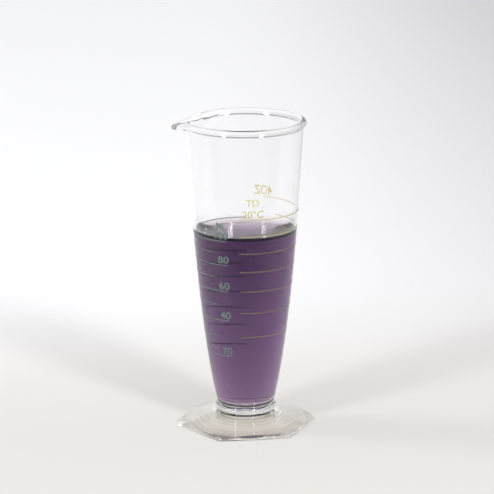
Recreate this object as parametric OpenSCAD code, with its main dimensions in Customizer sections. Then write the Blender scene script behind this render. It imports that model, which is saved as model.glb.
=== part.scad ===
// Conical glass graduate: a flared measuring glass on a hexagonal foot, part filled, with two printed scales.
// The origin is on the table under the middle of the foot, +Z is up and the spout points along -X.

/* [Cone] */
// Height of the centre of the rim bead above the table
rim_z = 148.4; // [135:0.2:170]
// Outer radius of the wall at the rim
rim_r = 28.2; // [26.5:0.1:31]
// Outer radius of the wall where it leaves the joining button
neck_r = 13.7; // [12.5:0.1:15]
// Outer radius that the curve of the wall is drawn towards
belly_r = 22.9; // [21:0.1:25]
// Height that the curve of the wall is drawn towards
belly_z = 49.8; // [42:0.2:65]
// Thickness of the wall, measured level
wall = 1.1; // [0.9:0.1:1.8]
// Thickness of the glass under the liquid
floor_t = 2.8; // [0.8:0.1:4]
// Radius between the floor and the wall inside the cone
floor_fillet = 4; // [1:0.5:8]

/* [Rim and spout] */
// Radius of the rolled bead round the rim
bead_r = 1.65; // [1.1:0.05:2.2]
// How far the tip of the spout stands out past the round rim
spout_reach = 7.7; // [3:0.1:10]
// How far the tip of the spout dips below the round rim
spout_dip = 4.4; // [1:0.1:5]
// Angle round the rim at which the spout has fallen to six tenths of its reach
spout_angle = 16.4; // [12:0.2:24]
// Height of the band of wall that flares into the spout
spout_h = 11.4; // [9:0.2:16]

/* [Foot] */
// Distance across the flats of the hexagon
foot_flats = 59.2; // [54:0.2:70]
// Radius of the upright corners of the hexagon
foot_corner_r = 4.5; // [1:0.5:10]
// Height of the side face in the middle of a flat
foot_edge_h = 2.2; // [1.8:0.1:3.5]
// Height of the level land in the middle, where the button sits
land_z = 7.3; // [6.5:0.1:9]
// How far the level land reaches past the flat underside of the button
land_margin = 0.75; // [0.2:0.05:2]
// Radius of the hollow underneath
hollow_r = 26; // [20:0.5:26.5]
// Depth of the hollow underneath
hollow_h = 4.6; // [2:0.1:5]

/* [Joining button] */
// How far the button stands out past the neck of the cone
button_proud = 1.15; // [0.6:0.05:1.6]
// Height of the button
button_h = 4; // [2.6:0.1:5]
// Thickness of the button between the foot and the cone
button_web = 0.5; // [0.3:0.1:1.5]

/* [Liquid] */
// Volume of liquid up to the bottom of its meniscus, in millilitres
fill_ml = 99.4; // [40:0.2:125]
// Rise of the liquid at the wall
meniscus_h = 2.1; // [0.4:0.1:3]
// Distance from the wall in which most of that rise happens
meniscus_w = 1.9; // [0.6:0.1:3]

/* [Printed scales] */
// Width of a printed line
line_w = 0.4; // [0.3:0.05:1]
// Thickness of the fired enamel
enamel_t = 0.12; // [0.08:0.01:0.3]
// Angle from +X of the plain ends of the millilitre lines
ml_plain_end = 111; // [90:1:130]
// Angle from +X of the numbered ends of the long millilitre lines
ml_long_end = 271; // [250:1:280]
// Angle from +X of the ends of the short millilitre lines
ml_short_end = 254; // [230:1:270]
// Angle from +X of the plain ends of the ounce lines
oz_plain_end = -74; // [-85:1:-60]
// Angle from +X of the numbered ends of the whole ounce lines
oz_long_end = 91; // [70:1:105]
// Angle from +X of the ends of the half ounce lines
oz_short_end = 74; // [55:1:90]
// How far the ounce lines are printed above their true level
oz_print_rise = 0.8; // [0:0.1:1.2]

/* [Hidden] */
// Volumes of the printed lines, and of one fluid ounce in millilitres
ml_lines = [20:10:100];
oz_lines = [1:0.5:4];
ml_per_oz = 29.57;
// Every second millilitre line is long and has a number
ml_numbered = 20;

glass = [0.86, 0.92, 0.9, 0.35];
green_enamel = [0.35, 0.55, 0.45];
amber_enamel = [0.78, 0.62, 0.42];
purple_liquid = [0.36, 0.25, 0.4, 0.85];

// Heights and radii that follow from the pieces stacked on the foot
button_top = land_z + button_h;
button_edge_r = button_h / 2;
button_flat_r = neck_r + button_proud - button_edge_r;
land_r = button_flat_r + land_margin;
base_z = land_z + button_web;
floor_z = base_z + floor_t;
lip_z = rim_z - spout_h;

// Facets of round shapes, steps along the wall and the shortest of them, and points along other curves
$fn = 128;
wall_steps = 34;
least_step = 0.1;
fillet_steps = 6;
meniscus_steps = 8;
// The meniscus is drawn out to this many of its widths from the wall
meniscus_span = 4;

// The outer wall is a parabola from the button to the rim, and runs straight on down into the button
lean = (belly_r - neck_r) / (belly_z - button_top);
function wall_t(z) =
    let (run = belly_z - button_top, bend = rim_z - 2 * belly_z + button_top)
    (z - button_top) / (run + sqrt(run * run + bend * (z - button_top)));
function wall_r(z) =
    let (t = wall_t(z))
    z <= button_top ? neck_r - lean * (button_top - z)
                    : pow(1 - t, 2) * neck_r + 2 * t * (1 - t) * belly_r + t * t * rim_r;

// Outline of the cone below the lip, outside and inside, as points of radius and height
wall_zs = [for (i = [0:wall_steps]) button_top + (lip_z - button_top) * i / wall_steps];
outer_line = concat([[wall_r(base_z), base_z]], [for (z = wall_zs) [wall_r(z), z]]);
fillet_sweep = 90 - atan(lean);
fillet_top = floor_z + floor_fillet * (1 - cos(fillet_sweep));
fillet_mid_r = wall_r(fillet_top) - wall - floor_fillet * sin(fillet_sweep);
fillet_line = [for (i = [0:fillet_steps])
    let (a = fillet_sweep * i / fillet_steps)
    [fillet_mid_r + floor_fillet * sin(a), floor_z + floor_fillet * (1 - cos(a))]];
inner_line = concat([[0, floor_z]], fillet_line,
                    [for (z = wall_zs) if (z > fillet_top + least_step) [wall_r(z) - wall, z]]);

// Radius of the outside and of the inside at a height, on those outlines
outer_table = [for (p = outer_line) [p.y, p.x]];
inner_table = [for (p = inner_line) if (p.x > 0) [p.y, p.x]];
function outer_r(z) = lookup(z, outer_table);
function inner_r(z) = lookup(z, inner_table);

// Height at which the cone holds a volume, summed from slices between the points of the inside
function slice(p, q) = PI / 3 * (q.y - p.y) * (p.x * p.x + p.x * q.x + q.x * q.x);
function held(i) = i == 0 ? 0 : held(i - 1) + slice(inner_line[i - 1], inner_line[i]);
level_table = [for (i = [1:len(inner_line) - 1]) [held(i) / 1000, inner_line[i].y]];
function level(ml) = lookup(ml, level_table);

function ml_name(v) = str("mark_", v, "_ml");
function oz_name(v) = str("mark_", floor(v), v > floor(v) ? "_and_half" : "", "_oz");

// Lip: the top band of wall, swept round the rim and drawn out into the spout
lip_sections = 96;
lip_steps = 8;
bead_steps = 12;
// The lip is this much thinner on each side than the cone, and its root is sunk this far into the cone
lip_inset = 0.04;
lip_root = 1;
lip_wall = wall - 2 * lip_inset;
root_wall = lip_wall * 2 / 3;
// How steeply the flare gathers towards the rim
flare_power = 3;
// Small step for finding the direction of the wall
nudge = 0.001;

// Share of the spout's reach at an angle round the rim, and the middle of the wall a share u up the lip
function pull(a) = exp(-pow((a - 180) / spout_angle, 2) / 2);
function lip_mid(a, u) =
    let (z = lip_z + u * spout_h, k = u > 0 ? pull(a) * pow(u, flare_power) : 0)
    [wall_r(z) - wall / 2 + spout_reach * k, z - spout_dip * k];
function lip_run(a, u) = (lip_mid(a, u + nudge) - lip_mid(a, u - nudge)) / (2 * nudge);
function lip_side(a, u, s) =
    let (d = lip_run(a, u) / norm(lip_run(a, u)))
    lip_mid(a, u) + s * lip_wall / 2 * [d.y, -d.x];

// The wall runs into the bead where the bead's circle is as wide as the wall
neck_angle = asin(lip_wall / 2 / bead_r);
function bead_neck(a) = 1 - bead_r * cos(neck_angle) / norm(lip_run(a, 1));
function bead_point(a, i) =
    let (d = lip_run(a, 1), from = atan2(d.y, d.x) - 180 + neck_angle,
         turn = from + (360 - 2 * neck_angle) * i / bead_steps)
    lip_mid(a, 1) + bead_r * [cos(turn), sin(turn)];
function root_point(s) = [wall_r(lip_z - lip_root) - wall / 2 + s * root_wall / 2, lip_z - lip_root];
function lip_section(a) = concat(
    [root_point(1)],
    [for (j = [0:lip_steps - 1]) lip_side(a, bead_neck(a) * j / lip_steps, 1)],
    [for (i = [0:bead_steps]) bead_point(a, i)],
    [for (j = [lip_steps - 1:-1:0]) lip_side(a, bead_neck(a) * j / lip_steps, -1)],
    [root_point(-1)]);

module lip() {
    count = len(lip_section(0));
    points = [for (i = [0:lip_sections - 1])
        let (a = 360 * i / lip_sections)
        for (p = lip_section(a)) [p.x * cos(a), p.x * sin(a), p.y]];
    faces = [for (i = [0:lip_sections - 1], j = [0:count - 1])
        let (here = i * count, next = (i + 1) % lip_sections * count, up = (j + 1) % count)
        for (f = [[here + j, here + up, next + up], [here + j, next + up, next + j]]) f];
    polyhedron(points, faces);
}

module cone_vessel() {
    color(glass) union() {
        rotate_extrude()
            polygon(concat([[0, base_z]], outer_line, [for (i = [len(inner_line) - 1:-1:0]) inner_line[i]]));
        lip();
    }
}

// Glass gathered round the joint: a disc with a round edge, hollowed to seat the bottom of the cone
module joining_button() {
    color(glass) rotate_extrude() difference() {
        union() {
            translate([0, land_z]) square([button_flat_r, button_h]);
            translate([button_flat_r, land_z + button_edge_r]) circle(button_edge_r);
        }
        polygon(concat([[0, base_z]], outer_line, [[0, lip_z]]));
    }
}

// Hexagon with two flats facing along X, made of three crossed bars and a circle at each corner
module rounded_hexagon(flats, r) {
    corner = (flats / 2 - r) / cos(30);
    for (a = [0:60:120]) rotate(a) square([flats, corner], center = true);
    for (a = [30:60:330]) rotate(a) translate([corner, 0]) circle(r);
}

// The top of the foot is a flat cone that the hexagon cuts off, so its edge is lowest at the corners
module hex_foot() {
    spread = (foot_flats / 2 - land_r) / (land_z - foot_edge_h);
    hollow_ball = (hollow_r * hollow_r + hollow_h * hollow_h) / (2 * hollow_h);
    color(glass) difference() {
        intersection() {
            linear_extrude(land_z) rounded_hexagon(foot_flats, foot_corner_r);
            cylinder(h = land_z, r1 = land_r + spread * land_z, r2 = land_r);
        }
        translate([0, 0, hollow_h - hollow_ball]) sphere(hollow_ball);
    }
}

// The liquid fills the inside exactly and climbs the wall in a meniscus
module liquid_fill() {
    surface_z = level(fill_ml);
    contact_z = surface_z + meniscus_h;
    body = [for (p = inner_line) if (p.y < contact_z) p];
    meniscus = [for (i = [0:meniscus_steps])
        let (x = meniscus_span * meniscus_w * pow(i / meniscus_steps, 2))
        [inner_r(contact_z) - x, surface_z + meniscus_h * exp(-x / meniscus_w)]];
    color(purple_liquid) rotate_extrude() polygon(concat(body, meniscus, [[0, surface_z]]));
}

// One printed line: a thin band of enamel on the wall from one angle to another
module printed_line(z, from, to, hue) {
    low = z - line_w / 2;
    high = z + line_w / 2;
    color(hue) rotate_extrude(angle = to - from, start = from)
        polygon([[outer_r(low), low], [outer_r(low) + enamel_t, low],
                 [outer_r(high) + enamel_t, high], [outer_r(high), high]]);
}

module mark_ml(v) {
    printed_line(level(v), ml_plain_end, v % ml_numbered == 0 ? ml_long_end : ml_short_end, green_enamel);
}

module mark_oz(v) {
    printed_line(level(v * ml_per_oz) + oz_print_rise, oz_plain_end,
                 v == floor(v) ? oz_long_end : oz_short_end, amber_enamel);
}

cone_vessel();
joining_button();
hex_foot();
liquid_fill();
for (v = ml_lines) mark_ml(v);
for (v = oz_lines) mark_oz(v);
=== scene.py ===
"""Conical glass graduate on a hexagonal foot, with purple liquid and two fired scales, in a small studio."""

import math

import bpy
from bpy.props import FloatProperty, FloatVectorProperty, IntProperty, PointerProperty
from mathutils import Matrix, Vector


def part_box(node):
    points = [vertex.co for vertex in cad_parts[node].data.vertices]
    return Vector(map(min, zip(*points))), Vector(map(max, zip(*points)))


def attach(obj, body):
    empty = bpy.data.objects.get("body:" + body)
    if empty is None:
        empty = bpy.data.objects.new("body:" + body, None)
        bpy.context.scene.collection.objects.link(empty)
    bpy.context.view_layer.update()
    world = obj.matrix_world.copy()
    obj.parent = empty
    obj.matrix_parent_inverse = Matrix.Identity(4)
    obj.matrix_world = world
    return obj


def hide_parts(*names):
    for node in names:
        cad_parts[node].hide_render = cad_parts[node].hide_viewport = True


bl_info = {
    "name": "Conical Glass Graduate",
    "version": (1, 0, 0),
    "blender": (4, 5, 0),
    "location": "View3D > Sidebar > Graduate",
    "description": "Builds a footed measuring glass with its liquid, its printed scales and a studio",
    "category": "Object",
}

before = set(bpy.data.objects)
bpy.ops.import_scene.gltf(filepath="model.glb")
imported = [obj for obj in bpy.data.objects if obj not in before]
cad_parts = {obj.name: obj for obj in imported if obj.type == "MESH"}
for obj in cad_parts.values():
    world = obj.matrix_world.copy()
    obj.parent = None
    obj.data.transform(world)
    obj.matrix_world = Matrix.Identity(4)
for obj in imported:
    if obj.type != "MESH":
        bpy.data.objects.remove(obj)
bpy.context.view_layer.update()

MM = 0.001
BODY = "root"
CONE_LOW, CONE_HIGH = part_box("cone_vessel")
FOOT_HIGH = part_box("hex_foot")[1]
LIQUID_LOW, LIQUID_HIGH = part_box("liquid_fill")

# Printed lines by volume: those with a number are long
NUMBERED_ML = (20, 40, 60, 80, 100)
PLAIN_ML = (30, 50, 70, 90)
WHOLE_OZ = (1, 2, 3, 4)

# Lettering in millimetres: the width of a number by its count of digits, and the units of both scales
FIGURE_WIDTH = {2: 5.5, 3: 6.7}
UNIT_WIDTH = 4.9
UNIT_GAP = 1.1
OUNCE_HEIGHT = 4.6
OUNCE_WIDTH = 9.3

# Calibration signs: name, words, height of the foot, size upwards and across, and angle of the middle
SIGNS = (
    ("words_to_deliver", "TD", 113.45, 3.4, 6.1, -60.3),
    ("words_temperature", "20°C", 107.8, 3.7, 10.1, -59.6),
)

# How much the strokes swell in letters that are 1 high, and the steps in each curve of a letter
STROKE_GAIN = 0.01
LETTER_STEPS = 6

# Refraction of soda glass and of water
GLASS_IOR = 1.5
WATER_IOR = 1.333

# What counts as the same place, how close vertices merge, and up to which angle faces are shaded as one
FINE = 0.01 * MM
WELD = 0.002 * MM
SMOOTH_ANGLE = math.radians(40)

# Steps along each stretch of an outline, and the angle of a step along a printed line
SEAT_STEPS = 4
WALL_STEPS = 48
LIP_STEPS = 16
FILLET_STEPS = 6
BEAD_STEPS = 64
DRY_STEPS = 8
WET_STEPS = 40
FLOOR_STEPS = 12
UNDER_STEPS = 12
RING_STEPS = 24
HOLLOW_STEPS = 16
SOLE_STEPS = 4
EDGE_STEPS = 6
FLANK_STEPS = 24
MENISCUS_STEPS = 16
LINE_STEP = math.radians(1.5)

# The spout draws out with this power of the height up the lip
SPOUT_EASE = 3

# The meniscus is drawn for so many of its reaches, and is level from there to the axis
MENISCUS_REACHES = 6


def linear(code):
    """Turn an sRGB hex colour into linear red, green, blue and alpha."""
    parts = [int(code[i:i + 2], 16) / 255 for i in (1, 3, 5)]
    return [c / 12.92 if c <= 0.04045 else ((c + 0.055) / 1.055) ** 2.4 for c in parts] + [1.0]


def length(name, text, value):
    """A size in metres, given in millimetres."""
    return FloatProperty(name=name, description=text, default=value * MM, subtype="DISTANCE", unit="LENGTH")


def turn(name, text, degrees):
    """An angle, given in degrees."""
    return FloatProperty(name=name, description=text, default=math.radians(degrees), subtype="ANGLE")


def colour(name, text, code):
    """A colour, given as an sRGB hex value."""
    return FloatVectorProperty(name=name, description=text, default=linear(code), size=4, subtype="COLOR")


def share(name, text, value):
    """A part of a whole, from 0 to 1."""
    return FloatProperty(name=name, description=text, default=value, min=0, max=1, subtype="FACTOR")


class GlassSizes(bpy.types.PropertyGroup):
    """Sizes of the cone, the button and the foot"""

    bead: length("Bead", "Radius of the rolled bead round the rim", 1.65)
    bead_fillet: length("Bead fillet", "Radius between the wall and the bead", 0.9)
    wall: length("Wall", "Thickness of the wall, measured level", 1.1)
    neck: length("Neck", "Outer radius of the wall where it leaves the button", 13.7)
    belly: length("Belly radius", "Outer radius that the curve of the wall is drawn towards", 22.9)
    belly_height: length("Belly height", "Height that the curve of the wall is drawn towards", 49.8)
    floor_fillet: length("Floor fillet", "Radius between the floor and the wall inside", 7)
    spout_dip: length("Spout dip", "How far the tip of the spout dips below the rim", 4.4)
    spout_angle: turn("Spout angle", "Angle in which the spout falls to six tenths of its reach", 16.4)
    spout_height: length("Spout height", "Height of the band of wall that flares into the spout", 11.4)
    button_height: length("Button height", "Height of the button", 4)
    button_proud: length("Button proud", "How far the button stands out past the neck", 1.15)
    button_fillet: length("Button fillet", "Radius between the button and the foot", 0.25)
    foot_corner: length("Foot corner", "Radius of the upright corners of the hexagon", 4.5)
    foot_edge: length("Foot edge", "Height of the side face in the middle of a flat", 2.2)
    land_margin: length("Land margin", "How far the level land reaches past the flat of the button", 0.75)
    hollow: length("Hollow", "Radius of the hollow under the foot", 28.6)
    hollow_depth: length("Hollow depth", "Depth of the hollow under the foot", 5.4)
    hollow_slope: turn("Hollow slope", "Slope of the hollow near its edge", 14)
    soft_edge: length("Soft edge", "Radius of the fire polished edges of the foot", 0.45)
    round_steps: IntProperty(name="Steps round", description="Steps in a full turn", default=360)


class LiquidSizes(bpy.types.PropertyGroup):
    """Sizes of the liquid"""

    climb: length("Meniscus climb", "Rise of the liquid at the wall", 2.8)
    reach: length("Meniscus reach", "Distance from the wall in which most of the rise happens", 2.4)
    wetting: length("Wetting", "How far the liquid reaches into the glass, so that no air shows", 0.1)


class ScaleSizes(bpy.types.PropertyGroup):
    """Sizes of the printed scales"""

    proud: length("Proud", "How far the enamel stands out of the glass", 0.09)
    bite: length("Bite", "How far the enamel is fired into the glass", 0.03)
    ml_plain: turn("mL plain end", "Plain ends of the millilitre lines", 111)
    ml_long: turn("mL long end", "Numbered ends of the long millilitre lines", 271)
    ml_short: turn("mL short end", "Ends of the short millilitre lines", 254)
    oz_plain: turn("oz plain end", "Plain ends of the ounce lines", -74)
    oz_long: turn("oz long end", "Numbered ends of the whole ounce lines", 91)
    oz_short: turn("oz short end", "Ends of the half ounce lines", 74)
    figure: length("Figure height", "Height of the numbers", 3.5)
    figure_gap: length("Figure gap", "Gap between a line and the foot of its number", 0.75)
    figure_overhang: turn("Figure overhang", "How far a number runs past the end of its line", 2)


class Finishes(bpy.types.PropertyGroup):
    """Colours and clearness of the object, and colours of the studio"""

    glass: colour("Glass", "Clear glass", "#FFFFFF")
    foot_glass: colour("Foot glass", "Thicker glass of the foot", "#FCFAF4")
    green: colour("Green enamel", "Millilitre scale", "#687E75")
    green_clearness: share("Green clearness", "How much light the green enamel lets through", 0.15)
    amber: colour("Amber enamel", "Ounce scale", "#F5E29E")
    amber_clearness: share("Amber clearness", "How much light the amber enamel lets through", 0.9)
    liquid: colour("Liquid", "Colour of the light that the dye leaves", "#A774B2")
    density: FloatProperty(name="Density", description="Strength of the dye in the liquid", default=100)
    paper: colour("Paper", "Seamless paper under and behind the glass", "#ADACAB")
    near_glow: colour("Near glow", "Light that the paper adds for the eye round the foot", "#A6A29E")
    far_glow: colour("Far glow", "Light that the paper adds for the eye behind the glass", "#CECFD3")
    edge_glow: colour("Edge glow", "Light that the paper adds for the eye on the dim side", "#A2A1A4")


class StudioSettings(bpy.types.PropertyGroup):
    """Place and lens of the camera"""

    distance: length("Distance", "Camera to the axis of the glass", 1288.4)
    aim_height: length("Aim height", "Height on the axis that the camera looks at", 87.5)
    aim_side: length("Aim side", "How far to the right of the axis the camera looks", 0.88)
    bearing: turn("Bearing", "Direction of the camera from the axis, from +X", -68)
    elevation: turn("Elevation", "Height of the camera above the horizon", 14.44)
    roll: turn("Roll", "Lean of the camera", -0.208)
    lens: FloatProperty(name="Lens", description="Focal length in millimetres", default=196.1)


# Outlines of the glass


def even_steps(low, high, count):
    """Evenly spaced values from low to high, both included."""
    return [low + (high - low) * i / count for i in range(count + 1)]


class Shape:
    """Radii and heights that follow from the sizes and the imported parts."""

    def __init__(self, sizes):
        self.sizes = sizes
        self.rim_z = CONE_HIGH.z - sizes.bead
        self.rim_r = CONE_HIGH.x - sizes.bead + sizes.wall / 2
        self.spout_reach = -CONE_LOW.x - CONE_HIGH.x
        self.base_z = CONE_LOW.z
        self.floor_z = LIQUID_LOW.z
        self.contact_z = LIQUID_HIGH.z
        self.land_z = FOOT_HIGH.z
        self.flat = FOOT_HIGH.x
        self.button_top = self.land_z + sizes.button_height
        self.button_edge = sizes.button_height / 2
        self.button_flat = sizes.neck + sizes.button_proud - self.button_edge
        self.land_r = self.button_flat + sizes.land_margin
        self.fall = (self.land_z - sizes.foot_edge) / (self.flat - self.land_r)
        self.lip_z = self.rim_z - sizes.spout_height
        self.lean = (sizes.belly - sizes.neck) / (sizes.belly_height - self.button_top)

    def wall(self, z):
        """Outer radius of the cone at a height: a parabola above the button, straight inside it."""
        sizes = self.sizes
        if z <= self.button_top:
            return sizes.neck - self.lean * (self.button_top - z)
        run = sizes.belly_height - self.button_top
        bend = self.rim_z - 2 * sizes.belly_height + self.button_top
        t = (z - self.button_top) / (run + math.sqrt(run * run + bend * (z - self.button_top)))
        return (1 - t) ** 2 * sizes.neck + 2 * t * (1 - t) * sizes.belly + t * t * self.rim_r

    def lip_mid(self, angle, u):
        """Middle of the wall a share u up the lip, drawn out towards the spout."""
        sizes = self.sizes
        off = math.remainder(angle - math.pi, math.tau) / sizes.spout_angle
        k = math.exp(-off * off / 2) * max(u, 0) ** SPOUT_EASE
        z = self.lip_z + u * sizes.spout_height
        return Vector((self.wall(z) - sizes.wall / 2 + self.spout_reach * k, z - sizes.spout_dip * k))

    def lip_run(self, angle, u):
        """Direction of the wall up the lip, with the length of the lip's run."""
        nudge = 0.001
        return (self.lip_mid(angle, u + nudge) - self.lip_mid(angle, u - nudge)) / (2 * nudge)

    def lip(self, angle):
        """Section of the lip: up the outside, round the bead and down the inside."""
        sizes = self.sizes
        half = sizes.wall / 2
        run = self.lip_run(angle, 1)
        up = run.normalized()
        out = Vector((up.y, -up.x))
        top = self.lip_mid(angle, 1)
        drop = math.sqrt((sizes.bead + sizes.bead_fillet) ** 2 - (half + sizes.bead_fillet) ** 2)
        tuck = math.asin((half + sizes.bead_fillet) / (sizes.bead + sizes.bead_fillet))
        u_top = 1 - drop / run.length
        sides = {}
        for side in (1, -1):
            rise = []
            for i in range(1, LIP_STEPS + 1):
                u = u_top * i / LIP_STEPS
                d = self.lip_run(angle, u).normalized()
                rise.append(self.lip_mid(angle, u) + side * half * Vector((d.y, -d.x)))
            middle = top - drop * up + side * (half + sizes.bead_fillet) * out
            for i in range(1, FILLET_STEPS):
                a = (math.pi / 2 - tuck) * i / FILLET_STEPS
                rise.append(middle + sizes.bead_fillet * (math.sin(a) * up - side * math.cos(a) * out))
            sides[side] = rise
        bead = []
        for i in range(BEAD_STEPS + 1):
            a = tuck + (math.tau - 2 * tuck) * i / BEAD_STEPS
            bead.append(top + sizes.bead * (math.sin(a) * out - math.cos(a) * up))
        return sides[1] + bead + sides[-1][::-1]

    def inside(self):
        """Inside of the cone from the lip down to the middle of the floor."""
        sizes = self.sizes
        sweep = math.pi / 2 - math.atan(self.lean)
        top = self.floor_z + sizes.floor_fillet * (1 - math.cos(sweep))
        middle = self.wall(top) - sizes.wall - sizes.floor_fillet * math.sin(sweep)
        heights = even_steps(self.lip_z, self.contact_z, DRY_STEPS)
        heights += even_steps(self.contact_z, top, WET_STEPS)[1:]
        down = [Vector((self.wall(z) - sizes.wall, z)) for z in heights]
        for i in range(1, FLOOR_STEPS + 1):
            a = sweep * (1 - i / FLOOR_STEPS)
            down.append(Vector((middle + sizes.floor_fillet * math.sin(a),
                                self.floor_z + sizes.floor_fillet * (1 - math.cos(a)))))
        return down + [Vector((0, self.floor_z))]

    def cone(self):
        """Whole outline of the cone, from the middle of its underside to the middle of its floor."""
        below = even_steps(self.base_z, self.button_top, SEAT_STEPS)
        above = even_steps(self.button_top, self.lip_z, WALL_STEPS)[1:]
        outside = [Vector((self.wall(z), z)) for z in below + above]
        return [Vector((0, self.base_z))] + outside + self.lip(0) + self.inside()

    def button_arc(self, start, end, steps):
        """Points round the edge of the button between two angles."""
        middle = Vector((self.button_flat, self.land_z + self.button_edge))
        turns = even_steps(start, end, steps)
        return [middle + self.button_edge * Vector((math.cos(a), math.sin(a))) for a in turns]

    def button_fillet(self):
        """Middle of the fillet between the button and the flank, and the angle where it meets the button."""
        sizes = self.sizes
        tilt = math.atan(self.fall)
        up = Vector((math.sin(tilt), math.cos(tilt)))
        along = Vector((up.y, -up.x))
        rise = sizes.button_fillet - up.dot(Vector((self.button_flat - self.land_r, self.button_edge)))
        run = math.sqrt((self.button_edge + sizes.button_fillet) ** 2 - rise ** 2)
        away = run * along + rise * up
        middle = Vector((self.button_flat, self.land_z + self.button_edge)) + away
        return middle, math.atan2(away.y, away.x)

    def button(self):
        """Outline of the button: its underside, its round edge and the seat of the cone."""
        meet = self.button_fillet()[1]
        edge = self.button_arc(-math.pi / 2, meet, UNDER_STEPS)
        edge += self.button_arc(meet, math.pi / 2, RING_STEPS)[1:]
        edge = [p for p in edge if p.x > self.wall(p.y) + 5 * FINE or p.y < self.land_z + self.button_edge]
        seat = [Vector((self.wall(z), z)) for z in even_steps(edge[-1].y, self.base_z, SEAT_STEPS + 2)]
        return [Vector((0, self.land_z))] + edge + seat + [Vector((0, self.base_z))]

    def hexagon(self, angle):
        """Distance from the axis to the rounded hexagon in a direction, with flats facing along X."""
        sizes = self.sizes
        side = math.radians(30)
        off = abs(math.remainder(angle - side, 2 * side))
        centre = (self.flat - sizes.foot_corner) / math.cos(side)
        meet = math.atan2(sizes.foot_corner * math.sin(side), centre + sizes.foot_corner * math.cos(side))
        if off < meet:
            return centre * math.cos(off) + math.sqrt(sizes.foot_corner ** 2 - (centre * math.sin(off)) ** 2)
        return self.flat / math.cos(side - off)

    def foot(self, angle):
        """Section of the foot: down the hollow underneath, round the edge and up the flank."""
        sizes = self.sizes
        edge = self.hexagon(angle)
        soft = sizes.soft_edge
        rise = math.tan(sizes.hollow_slope)
        blunt = ((rise * sizes.hollow) ** 2 - sizes.hollow_depth ** 2) / (2 * sizes.hollow_depth)
        points = []
        for i in range(HOLLOW_STEPS):
            r = sizes.hollow * i / HOLLOW_STEPS
            points.append(Vector((r, sizes.hollow_depth + blunt - math.hypot(blunt, rise * r))))
        points += [Vector((r, 0)) for r in even_steps(sizes.hollow, edge - soft, SOLE_STEPS)]
        for i in range(1, EDGE_STEPS + 1):
            a = math.pi / 2 * i / EDGE_STEPS
            points.append(Vector((edge - soft + soft * math.sin(a), soft - soft * math.cos(a))))
        tilt = math.atan(self.fall)
        drop = self.fall * (edge - soft - self.land_r) + soft / math.cos(tilt)
        knee = Vector((edge - soft, self.land_z - drop))
        for i in range(EDGE_STEPS + 1):
            a = math.pi / 2 + (tilt - math.pi / 2) * i / EDGE_STEPS
            points.append(knee + soft * Vector((math.sin(a), math.cos(a))))
        middle, meet = self.button_fillet()
        turns = even_steps(-math.pi / 2 - tilt, meet - math.pi, FILLET_STEPS)
        fillet = [middle + sizes.button_fillet * Vector((math.cos(a), math.sin(a))) for a in turns]
        low = points[-1]
        points += [low.lerp(fillet[0], i / FLANK_STEPS) for i in range(1, FLANK_STEPS)]
        under = self.button_arc(meet, -math.pi / 2, UNDER_STEPS)[1:]
        return points + fillet + under + [Vector((0, self.land_z))]

    def liquid(self, fill):
        """Outline of the liquid: over its floor, up the wall and along the meniscus to the axis."""
        body = [p for p in self.inside() if p.y < self.contact_z - fill.wetting][::-1]
        out = []
        for i, p in enumerate(body):
            before, after = body[max(i - 1, 0)], body[min(i + 1, len(body) - 1)]
            along = (after - before).normalized()
            out.append(p + fill.wetting * Vector((along.y, -along.x)))
        out[0].x = 0
        wall = self.wall(self.contact_z) - self.sizes.wall
        surface = self.contact_z - fill.climb
        out.append(Vector((wall + fill.wetting, self.contact_z)))
        for i in range(MENISCUS_STEPS + 1):
            x = MENISCUS_REACHES * fill.reach * (i / MENISCUS_STEPS) ** 2
            out.append(Vector((wall - x, surface + fill.climb * math.exp(-x / fill.reach))))
        return out + [Vector((0, out[-1].y))]


# Modelling


def draw(name, points):
    """Draw a line of points with a new mesh's vertices, and stay in edit mode with all of it selected."""
    bpy.ops.object.select_all(action="DESELECT")
    bpy.ops.mesh.primitive_plane_add(size=MM)
    piece = bpy.context.object
    piece.name = name
    piece.data.name = name
    bpy.ops.object.mode_set(mode="EDIT")
    bpy.ops.mesh.select_all(action="SELECT")
    bpy.ops.mesh.merge(type="CENTER")
    bpy.ops.transform.translate(value=points[0])
    for here, there in zip(points, points[1:]):
        bpy.ops.mesh.extrude_region_move(TRANSFORM_OT_translate={"value": there - here})
    bpy.ops.mesh.select_all(action="SELECT")
    return piece


def close_up():
    """Merge doubled vertices, face everything outwards and leave edit mode."""
    bpy.ops.mesh.select_all(action="SELECT")
    bpy.ops.mesh.remove_doubles(threshold=WELD)
    bpy.ops.mesh.normals_make_consistent(inside=False)
    bpy.ops.object.mode_set(mode="OBJECT")


def lathe(name, outline, steps):
    """Turn an outline of radii and heights, from axis to axis, into a closed body."""
    piece = draw(name, [Vector((p.x, 0, p.y)) for p in outline])
    bpy.ops.object.mode_set(mode="OBJECT")
    bpy.ops.object.modifier_add(type="SCREW")
    turning = piece.modifiers[-1]
    turning.angle = math.tau
    turning.steps = steps
    turning.render_steps = steps
    turning.use_merge_vertices = True
    turning.merge_threshold = WELD
    bpy.ops.object.modifier_apply(modifier=turning.name)
    bpy.ops.object.mode_set(mode="EDIT")
    close_up()
    return piece


def press(piece, outline, section, steps):
    """Move each vertex of a turned body from its place on the outline to that on the section at its angle."""
    sections = {}
    known = {(round(p.x / FINE), round(p.y / FINE)): i for i, p in enumerate(outline)}
    for v in piece.data.vertices:
        r = math.hypot(v.co.x, v.co.y)
        if r < FINE:
            continue
        index = known.get((round(r / FINE), round(v.co.z / FINE)))
        if index is None:
            index = min(range(len(outline)), key=lambda i: abs(outline[i].x - r) + abs(outline[i].y - v.co.z))
        turn_index = round(math.atan2(v.co.y, v.co.x) / math.tau * steps)
        angle = math.tau * turn_index / steps
        if turn_index not in sections:
            sections[turn_index] = section(angle)
        p = sections[turn_index][index]
        v.co = (p.x * math.cos(angle), p.x * math.sin(angle), p.y)


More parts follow.
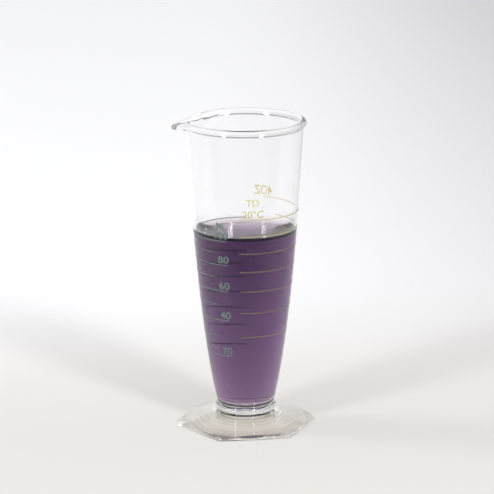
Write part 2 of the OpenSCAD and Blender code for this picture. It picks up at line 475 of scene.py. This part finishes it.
def finish(piece, slot, nodes, *materials):
    """Smooth a piece, give it its materials and set it on its body, in place of the CAD nodes named."""
    bpy.ops.object.select_all(action="DESELECT")
    bpy.context.view_layer.objects.active = piece
    piece.select_set(True)
    bpy.ops.object.shade_smooth_by_angle(angle=SMOOTH_ANGLE)
    piece.data.materials.clear()
    for material in materials:
        piece.data.materials.append(material)
    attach(piece, BODY)
    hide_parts(*nodes)


def use_material(piece, index, test):
    """Give another of a piece's materials to the faces whose radius and height pass a test."""
    for face in piece.data.polygons:
        if test(math.hypot(face.center.x, face.center.y), face.center.z):
            face.material_index = index


# Materials

# Where the paper's glow turns into the far one, towards the camera in metres
BACK_GLOW = (0.04, -0.3)

# Where the far glow turns into the one on the dim side, to the right
SIDE_GLOW = (-0.05, 0.3)

# Where the glow begins, towards the camera
FRONT_GLOW = (0.2, 0.1)

# Distances from the axis between which it grows, because the foot gathers light, and how many times over
FOOT_GLOW = (0.026, 0.012)
FOOT_GAIN = 1.6

# How much paler enamel is where the print is thin, and how large those patches are in millimetres
THIN_GAIN = 1.3
PATCH_MM = 1.5


def new_material(name):
    """Get an empty node material."""
    material = bpy.data.materials.new(name)
    material.use_nodes = True
    material.node_tree.nodes.clear()
    return material


def add_node(owner, kind, inputs=None, **settings):
    """Add a node, set its properties, and fill its inputs with values or with other nodes' outputs."""
    node = owner.node_tree.nodes.new(kind)
    for name, value in settings.items():
        setattr(node, name, value)
    for name, value in (inputs or {}).items():
        socket = node.inputs[name]
        if isinstance(value, bpy.types.NodeSocket):
            owner.node_tree.links.new(value, socket)
        else:
            socket.default_value = value
    return node


def clear_glass(material, tint, bump):
    """Clear, sharp soda glass with its surface moved by a bump."""
    glass = add_node(material, "ShaderNodeBsdfPrincipled",
                     {"Base Color": tint, "Roughness": 0.0, "IOR": GLASS_IOR, "Transmission Weight": 1.0,
                      "Normal": bump.outputs["Normal"]})
    add_node(material, "ShaderNodeOutputMaterial", {"Surface": glass.outputs["BSDF"]})
    return material


def seen_rays(owner):
    """Share of a ray that shows a background: all of the camera's, also mirrored or bent by glass."""
    ray = add_node(owner, "ShaderNodeLightPath")
    seen = add_node(owner, "ShaderNodeMath",
                    {0: ray.outputs["Is Camera Ray"], 1: ray.outputs["Is Glossy Ray"]}, operation="MAXIMUM")
    shown = add_node(owner, "ShaderNodeMath",
                     {0: seen.outputs[0], 1: ray.outputs["Is Transmission Ray"]}, operation="MAXIMUM")
    return shown.outputs[0]


def fire_polished_glass(tint, wave_mm, wave_height_mm):
    """Soda glass smoothed by flame: clear and sharp, with faint waves where it flowed."""
    material = new_material("fire_polished_glass")
    place = add_node(material, "ShaderNodeTexCoord")
    waves = add_node(material, "ShaderNodeTexNoise",
                     {"Vector": place.outputs["Object"], "Scale": 1 / (wave_mm * MM), "Detail": 1.0})
    bump = add_node(material, "ShaderNodeBump",
                    {"Height": waves.outputs["Fac"], "Strength": 0.3, "Distance": wave_height_mm * MM})
    return clear_glass(material, tint, bump)


def pressed_glass(tint, ring_mm, ring_height_mm):
    """Soda glass pressed in a turned mould: clear and sharp, with faint rings left by the mould."""
    material = new_material("pressed_glass")
    place = add_node(material, "ShaderNodeTexCoord")
    # The node turns through 20 radians in each unit at a scale of 1
    rings = add_node(material, "ShaderNodeTexWave",
                     {"Vector": place.outputs["Object"], "Scale": math.tau / 20 / (ring_mm * MM),
                      "Distortion": 2.0, "Detail": 2.0, "Detail Scale": 0.3},
                     wave_type="RINGS", rings_direction="Z")
    bump = add_node(material, "ShaderNodeBump",
                    {"Height": rings.outputs["Fac"], "Strength": 1.0, "Distance": ring_height_mm * MM})
    return clear_glass(material, tint, bump)


def wetted_glass():
    """Glass with liquid against it: it bends light but hardly mirrors any."""
    material = new_material("wetted_glass")
    bend = add_node(material, "ShaderNodeBsdfRefraction", {"Roughness": 0.0, "IOR": GLASS_IOR})
    add_node(material, "ShaderNodeOutputMaterial", {"Surface": bend.outputs["BSDF"]})
    return material


def fused_seam():
    """Where two pieces of glass were joined hot: nothing shows."""
    material = new_material("fused_seam")
    clear = add_node(material, "ShaderNodeBsdfTransparent")
    add_node(material, "ShaderNodeOutputMaterial", {"Surface": clear.outputs["BSDF"]})
    return material


def dyed_water(tint, density):
    """Water with a purple dye, darker where it is deeper. Against the glass it mirrors nothing."""
    material = new_material("dyed_water")
    water = add_node(material, "ShaderNodeBsdfPrincipled",
                     {"Base Color": linear("#FFFFFF"), "Roughness": 0.0, "IOR": WATER_IOR,
                      "Specular Tint": linear("#000000"), "Transmission Weight": 1.0})
    dye = add_node(material, "ShaderNodeVolumeAbsorption", {"Color": tint, "Density": density})
    add_node(material, "ShaderNodeOutputMaterial",
             {"Surface": water.outputs["BSDF"], "Volume": dye.outputs["Volume"]})
    return material


def fired_enamel(name, tint, clearness):
    """Glass enamel printed and fired: satin, a little clear, with patches where less colour took."""
    material = new_material(name)
    place = add_node(material, "ShaderNodeTexCoord")
    patches = add_node(material, "ShaderNodeTexNoise",
                       {"Vector": place.outputs["Object"], "Scale": 1 / (PATCH_MM * MM), "Detail": 3.0})
    thin = [min(c * THIN_GAIN, 1) for c in tint[:3]] + [1.0]
    tone = add_node(material, "ShaderNodeMix",
                    {"Factor": patches.outputs["Fac"], "A": tint, "B": thin}, data_type="RGBA")
    enamel = add_node(material, "ShaderNodeBsdfPrincipled",
                      {"Roughness": 0.3, "IOR": GLASS_IOR, "Base Color": tone.outputs["Result"],
                       "Transmission Weight": clearness})
    add_node(material, "ShaderNodeOutputMaterial", {"Surface": enamel.outputs["BSDF"]})
    return material


def seamless_paper(looks, bearing):
    """Matt paper that takes shadows and glows for the eye with painted light: whiter and cooler behind the
    glass, dimmer on the right, and a painted pool of light under the foot.
    """
    material = new_material("seamless_paper")
    place = add_node(material, "ShaderNodeTexCoord")
    turned = add_node(material, "ShaderNodeMapping",
                      {"Vector": place.outputs["Object"], "Rotation": (0, 0, bearing)}, vector_type="TEXTURE")
    axes = add_node(material, "ShaderNodeSeparateXYZ", {"Vector": turned.outputs["Vector"]})
    back = add_node(material, "ShaderNodeMapRange",
                    {"Value": axes.outputs["X"], "From Min": BACK_GLOW[0], "From Max": BACK_GLOW[1]},
                    interpolation_type="SMOOTHSTEP")
    side = add_node(material, "ShaderNodeMapRange",
                    {"Value": axes.outputs["Y"], "From Min": SIDE_GLOW[0], "From Max": SIDE_GLOW[1]},
                    interpolation_type="SMOOTHSTEP")
    far = add_node(material, "ShaderNodeMix",
                   {"Factor": side.outputs["Result"], "A": looks.far_glow, "B": looks.edge_glow},
                   data_type="RGBA")
    glow = add_node(material, "ShaderNodeMix",
                    {"Factor": back.outputs["Result"], "A": looks.near_glow, "B": far.outputs["Result"]},
                    data_type="RGBA")
    lit = add_node(material, "ShaderNodeMapRange",
                   {"Value": axes.outputs["X"], "From Min": FRONT_GLOW[0], "From Max": FRONT_GLOW[1]},
                   interpolation_type="SMOOTHSTEP")
    reach = add_node(material, "ShaderNodeVectorMath", {0: place.outputs["Object"]}, operation="LENGTH")
    # Painted pool of light under the foot, standing in for the light that the glass foot gathers
    under = add_node(material, "ShaderNodeMapRange",
                     {"Value": reach.outputs["Value"], "From Min": FOOT_GLOW[0], "From Max": FOOT_GLOW[1],
                      "To Min": 1.0, "To Max": FOOT_GAIN}, interpolation_type="SMOOTHSTEP")
    strength = add_node(material, "ShaderNodeMath",
                        {0: seen_rays(material), 1: lit.outputs["Result"]}, operation="MULTIPLY")
    gathered = add_node(material, "ShaderNodeMath",
                        {0: strength.outputs[0], 1: under.outputs["Result"]}, operation="MULTIPLY")
    paper = add_node(material, "ShaderNodeBsdfPrincipled",
                     {"Base Color": looks.paper, "Roughness": 0.9, "Specular IOR Level": 0.0,
                      "Emission Color": glow.outputs["Result"], "Emission Strength": gathered.outputs[0]})
    add_node(material, "ShaderNodeOutputMaterial", {"Surface": paper.outputs["BSDF"]})
    return material


# Operators


class GRADUATE_OT_blow_cone(bpy.types.Operator):
    """Turn the flared cone and draw out its rim into a spout"""

    bl_idname = "graduate.blow_cone"
    bl_label = "Blow Cone"

    def execute(self, context):
        sizes = context.scene.graduate_glass
        looks = context.scene.graduate_finishes
        shape = Shape(sizes)
        outline = shape.cone()
        start = len(outline) - len(shape.lip(0)) - len(shape.inside())

        def section(angle):
            lip = shape.lip(angle)
            return outline[:start] + lip + outline[start + len(lip):]

        piece = lathe("cone_glass", outline, sizes.round_steps)
        press(piece, outline, section, sizes.round_steps)
        glass = fire_polished_glass(looks.glass, wave_mm=9, wave_height_mm=0.015)
        finish(piece, "clear_glass", ["cone_vessel"], glass, wetted_glass(), fused_seam())

        def outside(r, z):
            return r > shape.wall(z) - sizes.wall / 2

        use_material(piece, 1, lambda r, z: z < shape.contact_z and not outside(r, z))
        use_material(piece, 2, lambda r, z: z < shape.button_top and outside(r, z) or z < shape.base_z + FINE)
        return {"FINISHED"}


class GRADUATE_OT_gather_button(bpy.types.Operator):
    """Turn the button of glass that joins the cone to the foot"""

    bl_idname = "graduate.gather_button"
    bl_label = "Gather Button"

    def execute(self, context):
        sizes = context.scene.graduate_glass
        shape = Shape(sizes)
        piece = lathe("button_glass", shape.button(), sizes.round_steps)
        low = shape.button_arc(shape.button_fillet()[1], 0, 1)[0].y
        glass = bpy.data.materials["fire_polished_glass"]
        finish(piece, "clear_glass", ["joining_button"], glass, bpy.data.materials["fused_seam"])
        use_material(piece, 1, lambda r, z: z < low or r < shape.wall(z) + FINE)
        return {"FINISHED"}


class GRADUATE_OT_press_foot(bpy.types.Operator):
    """Turn a flat cone and press it to a hexagon"""

    bl_idname = "graduate.press_foot"
    bl_label = "Press Foot"

    def execute(self, context):
        sizes = context.scene.graduate_glass
        looks = context.scene.graduate_finishes
        shape = Shape(sizes)
        steps = 2 * sizes.round_steps
        outline = shape.foot(0)
        piece = lathe("foot_glass", outline, steps)
        press(piece, outline, shape.foot, steps)
        joint = shape.button_arc(shape.button_fillet()[1], 0, 1)[0].x
        glass = pressed_glass(looks.foot_glass, ring_mm=2.6, ring_height_mm=0.02)
        finish(piece, "clear_glass", ["hex_foot"], glass, bpy.data.materials["fused_seam"])
        use_material(piece, 1, lambda r, z: z > shape.land_z - FINE and r < joint)
        return {"FINISHED"}


class GRADUATE_OT_pour_liquid(bpy.types.Operator):
    """Fill the cone with liquid up to its meniscus"""

    bl_idname = "graduate.pour_liquid"
    bl_label = "Pour Liquid"

    def execute(self, context):
        sizes = context.scene.graduate_glass
        looks = context.scene.graduate_finishes
        outline = Shape(sizes).liquid(context.scene.graduate_liquid)
        piece = lathe("purple_liquid", outline, sizes.round_steps)
        finish(piece, "purple_liquid", ["liquid_fill"], dyed_water(looks.liquid, looks.density))
        return {"FINISHED"}


def print_line(shape, scale, node, start, end, slot, material):
    """Print one line of a scale over its CAD node, as a thin band fired into the wall."""
    low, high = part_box(node)
    inner, outer = -scale.bite, scale.proud
    band = []
    for z, depth in ((low.z, inner), (low.z, outer), (high.z, outer), (high.z, inner)):
        r = shape.wall(z) + depth
        band.append(Vector((r * math.cos(start), r * math.sin(start), z)))
    piece = draw(node.replace("mark", "line"), band)
    bpy.ops.mesh.edge_face_add()
    bpy.ops.mesh.select_all(action="SELECT")
    steps = round((end - start) / LINE_STEP)
    bpy.ops.mesh.spin(steps=steps, angle=end - start, center=(0, 0, 0), axis=(0, 0, -1))
    close_up()
    finish(piece, slot, [node], material)


class GRADUATE_OT_print_lines(bpy.types.Operator):
    """Print the lines of both scales"""

    bl_idname = "graduate.print_lines"
    bl_label = "Print Lines"

    def execute(self, context):
        shape = Shape(context.scene.graduate_glass)
        scale = context.scene.graduate_scales
        looks = context.scene.graduate_finishes
        green = fired_enamel("fired_green_enamel", looks.green, looks.green_clearness)
        amber = fired_enamel("fired_amber_enamel", looks.amber, looks.amber_clearness)
        for ml in NUMBERED_ML + PLAIN_ML:
            end = scale.ml_long if ml in NUMBERED_ML else scale.ml_short
            print_line(shape, scale, f"mark_{ml}_ml", scale.ml_plain, end, "green_enamel", green)
        for oz in WHOLE_OZ:
            print_line(shape, scale, f"mark_{oz}_oz", scale.oz_plain, scale.oz_long, "amber_enamel", amber)
        for oz in WHOLE_OZ[:-1]:
            node = f"mark_{oz}_and_half_oz"
            print_line(shape, scale, node, scale.oz_plain, scale.oz_short, "amber_enamel", amber)
        return {"FINISHED"}


def print_words(shape, scale, name, words, foot_z, height, width, side, angle, slot, material):
    """Print words on the wall: their foot at a height, and their middle or right end at an angle."""
    bpy.ops.object.select_all(action="DESELECT")
    bpy.ops.object.text_add()
    piece = bpy.context.object
    piece.name = name
    piece.data.body = words
    piece.data.extrude = (scale.proud + scale.bite) / 2
    piece.data.offset = STROKE_GAIN
    piece.data.resolution_u = LETTER_STEPS
    bpy.ops.object.convert(target="MESH")
    piece = bpy.context.object
    piece.data.name = name
    xs = [v.co.x for v in piece.data.vertices]
    ys = [v.co.y for v in piece.data.vertices]
    left, right, bottom, top = min(xs), max(xs), min(ys), max(ys)
    anchor = right if side == "RIGHT" else (left + right) / 2
    across = width / (right - left)
    up = height / (top - bottom)
    for v in piece.data.vertices:
        z = foot_z + (v.co.y - bottom) * up
        depth = scale.proud if v.co.z > 0 else -scale.bite
        a = angle + (v.co.x - anchor) * across / shape.wall(foot_z)
        r = shape.wall(z) + depth
        v.co = (r * math.cos(a), r * math.sin(a), z)
    bpy.ops.object.mode_set(mode="EDIT")
    close_up()
    finish(piece, slot, [], material)


class GRADUATE_OT_print_numbers(bpy.types.Operator):
    """Print the numbers of both scales and the standard calibration words"""

    bl_idname = "graduate.print_numbers"
    bl_label = "Print Numbers"

    def execute(self, context):
        shape = Shape(context.scene.graduate_glass)
        scale = context.scene.graduate_scales
        green = bpy.data.materials["fired_green_enamel"]
        amber = bpy.data.materials["fired_amber_enamel"]
        for ml in NUMBERED_ML:
            foot_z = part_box(f"mark_{ml}_ml")[1].z + scale.figure_gap
            width = FIGURE_WIDTH[len(str(ml))] * MM
            print_words(shape, scale, f"number_{ml}_ml", str(ml), foot_z, scale.figure, width, "RIGHT",
                        scale.ml_long + scale.figure_overhang, "green_enamel", green)
        foot_z += scale.figure + UNIT_GAP * MM
        print_words(shape, scale, "words_millilitres", "ML", foot_z, scale.figure, UNIT_WIDTH * MM, "RIGHT",
                    scale.ml_long, "green_enamel", green)
        foot_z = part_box("mark_4_oz")[1].z + scale.figure_gap
        print_words(shape, scale, "number_4_oz", "4OZ", foot_z, OUNCE_HEIGHT * MM, OUNCE_WIDTH * MM, "CENTRE",
                    scale.oz_long, "amber_enamel", amber)
        for name, words, foot, height, width, angle in SIGNS:
            print_words(shape, scale, name, words, foot * MM, height * MM, width * MM, "CENTRE",
                        math.radians(angle), "amber_enamel", amber)
        return {"FINISHED"}


# Stage

# Lamps: name, bearing from the camera, rise, distance, width, height, power, and whether glass mirrors it
LAMPS = (
    ("left_softbox", -45, 32, 2.2, 0.36, 0.9, 22, True),
    ("right_softbox", 35.3, 32, 2.2, 0.34, 0.9, 30, True),
    ("side_softbox", -101, 30, 2.2, 0.5, 0.5, 14, False),
)

# Point on the axis that the lamps face
LAMP_AIM = Vector((0, 0, 0.07))
UP = Vector((0, 0, 1))

# Paper in metres: how far it lies under the foot, its size, and the start and radius of its sweep
PAPER_DROP = 0.1 * MM
PAPER_WIDTH = 6
PAPER_FRONT = 2.5
PAPER_TOP = 0.95
SWEEP_START = 1.4
SWEEP_RADIUS = 0.6
SWEEP_STEPS = 16

# Sines of the rise where the walls start and stop darkening, how bright they stay, and the light they give
DUSK = (0.16, 0.3)
CEILING = 0.4
FILL = 0.38

# Light trapped in the foot and the rim is mirrored many times before it leaves, and it passes many seams
GLASS_BOUNCES = 128
SEAM_BOUNCES = 32

# The brightest that a lamp looks in the glass
LAMP_GLARE = 30

# Width of the camera's sensor in millimetres
SENSOR_MM = 36


def aimed(place, target):
    """Turn something that looks along its own -Z from a place to a target."""
    return (target - place).to_track_quat("-Z", "Y")


class GRADUATE_OT_set_studio(bpy.types.Operator):
    """Set up the paper sweep, the lights, the world and the camera"""

    bl_idname = "graduate.set_studio"
    bl_label = "Set Studio"

    def execute(self, context):
        studio = context.scene.graduate_studio
        looks = context.scene.graduate_finishes
        front = Vector((math.cos(studio.bearing), math.sin(studio.bearing), 0))
        right = Vector((-front.y, front.x, 0))
        self.lay_paper(looks, studio.bearing, front, right)
        self.hang_lamps(context, front, right)
        self.set_world(context)
        self.set_camera(context, studio, front, right)
        return {"FINISHED"}

    def lay_paper(self, looks, bearing, front, right):
        """Lay a sheet of paper that sweeps up into a backdrop."""
        under = -UP * PAPER_DROP - right * PAPER_WIDTH / 2
        outline = [front * PAPER_FRONT + under, -front * SWEEP_START + under]
        for a in even_steps(0, math.pi / 2, SWEEP_STEPS)[1:]:
            back = SWEEP_START + SWEEP_RADIUS * math.sin(a)
            outline.append(under - front * back + UP * SWEEP_RADIUS * (1 - math.cos(a)))
        outline.append(under - front * (SWEEP_START + SWEEP_RADIUS) + UP * PAPER_TOP)
        paper = draw("paper_sweep", outline)
        bpy.ops.mesh.extrude_region_move(TRANSFORM_OT_translate={"value": right * PAPER_WIDTH})
        close_up()
        bpy.ops.object.shade_smooth()
        paper.data.materials.append(seamless_paper(looks, bearing))

    def hang_lamps(self, context, front, right):
        """Hang the soft lamps round the glass."""
        for name, bearing, rise, distance, wide, tall, power, mirrored in LAMPS:
            bearing, rise = math.radians(bearing), math.radians(rise)
            level = front * math.cos(bearing) + right * math.sin(bearing)
            place = LAMP_AIM + distance * (level * math.cos(rise) + UP * math.sin(rise))
            bpy.ops.object.light_add(type="AREA", location=place)
            lamp = context.object
            lamp.name = name
            lamp.data.shape = "RECTANGLE"
            lamp.data.size = wide
            lamp.data.size_y = tall
            lamp.data.energy = power
            lamp.visible_glossy = mirrored
            lamp.visible_transmission = mirrored
            lamp.rotation_mode = "QUATERNION"
            lamp.rotation_quaternion = aimed(place, LAMP_AIM)

    def set_world(self, context):
        """Light the room softly. The camera and the glass see white walls that darken with height."""
        world = bpy.data.worlds.new("studio_room")
        world.use_nodes = True
        world.node_tree.nodes.clear()
        context.scene.world = world
        place = add_node(world, "ShaderNodeTexCoord")
        axes = add_node(world, "ShaderNodeSeparateXYZ", {"Vector": place.outputs["Generated"]})
        height = add_node(world, "ShaderNodeMapRange",
                          {"Value": axes.outputs["Z"], "From Min": DUSK[0], "From Max": DUSK[1],
                           "To Min": 1.0, "To Max": CEILING}, interpolation_type="SMOOTHSTEP")
        walls = add_node(world, "ShaderNodeBackground",
                         {"Color": linear("#FFFFFF"), "Strength": height.outputs["Result"]})
        fill = add_node(world, "ShaderNodeBackground", {"Color": linear("#FFFFFF"), "Strength": FILL})
        room = add_node(world, "ShaderNodeMixShader",
                        {0: seen_rays(world), 1: fill.outputs[0], 2: walls.outputs[0]})
        add_node(world, "ShaderNodeOutputWorld", {"Surface": room.outputs[0]})
        context.scene.view_settings.view_transform = "Standard"
        cycles = context.scene.cycles
        cycles.max_bounces = GLASS_BOUNCES
        cycles.glossy_bounces = GLASS_BOUNCES
        cycles.transmission_bounces = GLASS_BOUNCES
        cycles.transparent_max_bounces = SEAM_BOUNCES
        cycles.sample_clamp_indirect = LAMP_GLARE

    def set_camera(self, context, studio, front, right):
        """Stand the camera in front of the glass and a little above it."""
        axis = UP * studio.aim_height
        rise = studio.elevation
        place = axis + studio.distance * (front * math.cos(rise) + UP * math.sin(rise))
        bpy.ops.object.camera_add(location=place)
        camera = context.object
        camera.name = "studio_camera"
        camera.data.lens = studio.lens
        camera.data.sensor_width = SENSOR_MM
        camera.rotation_mode = "QUATERNION"
        look = aimed(place, axis + right * studio.aim_side)
        camera.rotation_quaternion = look @ Matrix.Rotation(studio.roll, 3, "Z").to_quaternion()
        context.scene.camera = camera


class GRADUATE_PT_panel(bpy.types.Panel):
    """Lists the steps and the sizes"""

    bl_idname = "GRADUATE_PT_panel"
    bl_label = "Graduate"
    bl_space_type = "VIEW_3D"
    bl_region_type = "UI"
    bl_category = "Graduate"

    def draw(self, context):
        for step in STEPS:
            self.layout.operator(step.bl_idname)
        for name in GROUPS:
            group = getattr(context.scene, name)
            for key in group.__annotations__:
                self.layout.prop(group, key)


STEPS = (
    GRADUATE_OT_blow_cone,
    GRADUATE_OT_gather_button,
    GRADUATE_OT_press_foot,
    GRADUATE_OT_pour_liquid,
    GRADUATE_OT_print_lines,
    GRADUATE_OT_print_numbers,
    GRADUATE_OT_set_studio,
)
GROUPS = {
    "graduate_glass": GlassSizes,
    "graduate_liquid": LiquidSizes,
    "graduate_scales": ScaleSizes,
    "graduate_finishes": Finishes,
    "graduate_studio": StudioSettings,
}


def register():
    """Register the classes and hang the settings on the scene."""
    for kind in (*GROUPS.values(), *STEPS, GRADUATE_PT_panel):
        bpy.utils.register_class(kind)
    for name, kind in GROUPS.items():
        setattr(bpy.types.Scene, name, PointerProperty(type=kind))


def unregister():
    """Take the settings and the classes away again."""
    for name in GROUPS:
        delattr(bpy.types.Scene, name)
    for kind in (GRADUATE_PT_panel, *reversed(STEPS), *GROUPS.values()):
        bpy.utils.unregister_class(kind)


def main():
    """Build everything."""
    register()
    bpy.ops.graduate.blow_cone()
    bpy.ops.graduate.gather_button()
    bpy.ops.graduate.press_foot()
    bpy.ops.graduate.pour_liquid()
    bpy.ops.graduate.print_lines()
    bpy.ops.graduate.print_numbers()
    bpy.ops.graduate.set_studio()


if __name__ == "__main__":
    main()
